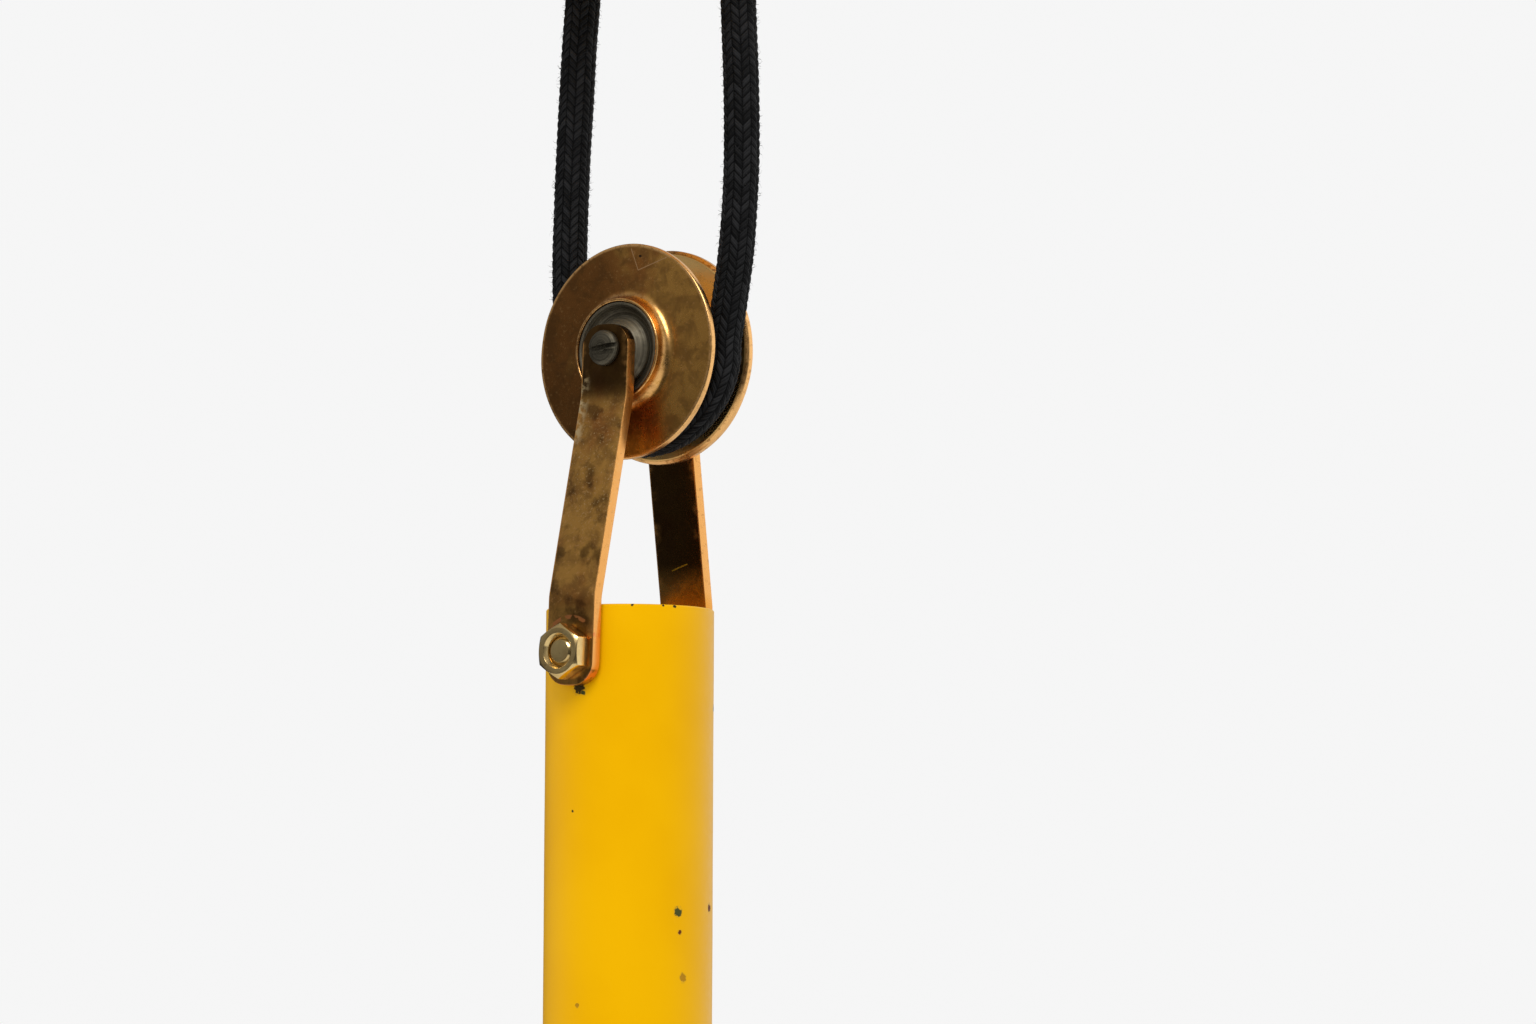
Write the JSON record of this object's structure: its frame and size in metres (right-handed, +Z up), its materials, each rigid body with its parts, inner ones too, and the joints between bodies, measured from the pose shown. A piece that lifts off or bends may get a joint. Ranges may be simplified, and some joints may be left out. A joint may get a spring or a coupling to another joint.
{
  "type": "pulley counterweight with ceiling canopy",
  "caption": "Tubular counterweight hung by bent straps from a grooved pulley that rides in a cord loop below a ceiling canopy.",
  "frame": {"origin": "middle of the mounting bar's top face, on the ceiling", "axes": "+Z up, the sheave's axle and the through bolt along Y, the front (slotted screw head) at -Y"},
  "size_m": [0.086, 0.086, 0.3607],
  "materials": {
    "aged_brass": "patinated, mottled brown, worn bright on the edges",
    "bright_brass": "polished",
    "dark_steel": "blackened, turned",
    "zinc_steel": "zinc plated, dull",
    "yellow_lacquer": "glossy lacquer with small chips",
    "ballast_metal": "as cast",
    "black_braid": "textile braid over a round flex",
    "black_grip": "matt"
  },
  "bodies": {
    "ceiling": {"mounting_bar": "zinc_steel", "canopy_cup": "yellow_lacquer", "canopy_nipple": "zinc_steel", "nipple_lock_nut": "zinc_steel", "canopy_knurled_nut": "bright_brass", "cord_outlet_left": "bright_brass", "cord_outlet_right": "bright_brass", "outlet_nut_left": "zinc_steel", "outlet_nut_right": "zinc_steel", "cord_grip_left": "black_grip", "cord_grip_right": "black_grip", "grip_screw_left": "zinc_steel", "grip_screw_right": "zinc_steel", "cord_leg_left": "black_braid", "cord_leg_right": "black_braid"},
    "bight": {"cord_bight": "black_braid"},
    "sheave": {"flange_front": "aged_brass", "flange_rear": "aged_brass", "groove_core": "aged_brass", "hub_bush_front": "dark_steel", "hub_bush_rear": "dark_steel"},
    "yoke": {"cone_washer_front": "dark_steel", "cone_washer_rear": "dark_steel", "axle_sleeve": "dark_steel", "axle_screw": "dark_steel", "axle_nut": "dark_steel", "strap_front": "aged_brass", "strap_rear": "aged_brass", "through_bolt": "bright_brass", "bolt_nut": "bright_brass", "bolt_spacer": "zinc_steel"},
    "weight": {"weight_tube": "yellow_lacquer", "ballast_slug": "ballast_metal", "bottom_plug": "yellow_lacquer"}
  },
  "joints": [
    {"name": "rise", "type": "slide", "parent": "ceiling", "child": "bight", "axis": [0, 0, 1], "range_m": [0, 0.025], "deforming": ["cord_leg_left", "cord_leg_right"]},
    {"name": "sheave_turn", "type": "hinge", "parent": "bight", "child": "sheave", "pos_m": [-0.00317, 0, -0.12434], "axis": [0, 1, 0], "range_deg": [-82, 0]},
    {"name": "yoke_swing", "type": "hinge", "parent": "bight", "child": "yoke", "pos_m": [-0.00317, 0, -0.12434], "axis": [0, 1, 0], "range_deg": [-35, 35]},
    {"name": "tube_tilt", "type": "hinge", "parent": "yoke", "child": "weight", "pos_m": [-0.0054, -0.0021, -0.1879], "axis": [0, 1, 0], "range_deg": [-30, 30]}
  ],
  "couplings": [
    {"joint": "sheave_turn", "follows": "rise", "rad_per_m": -55.9}
  ]
}
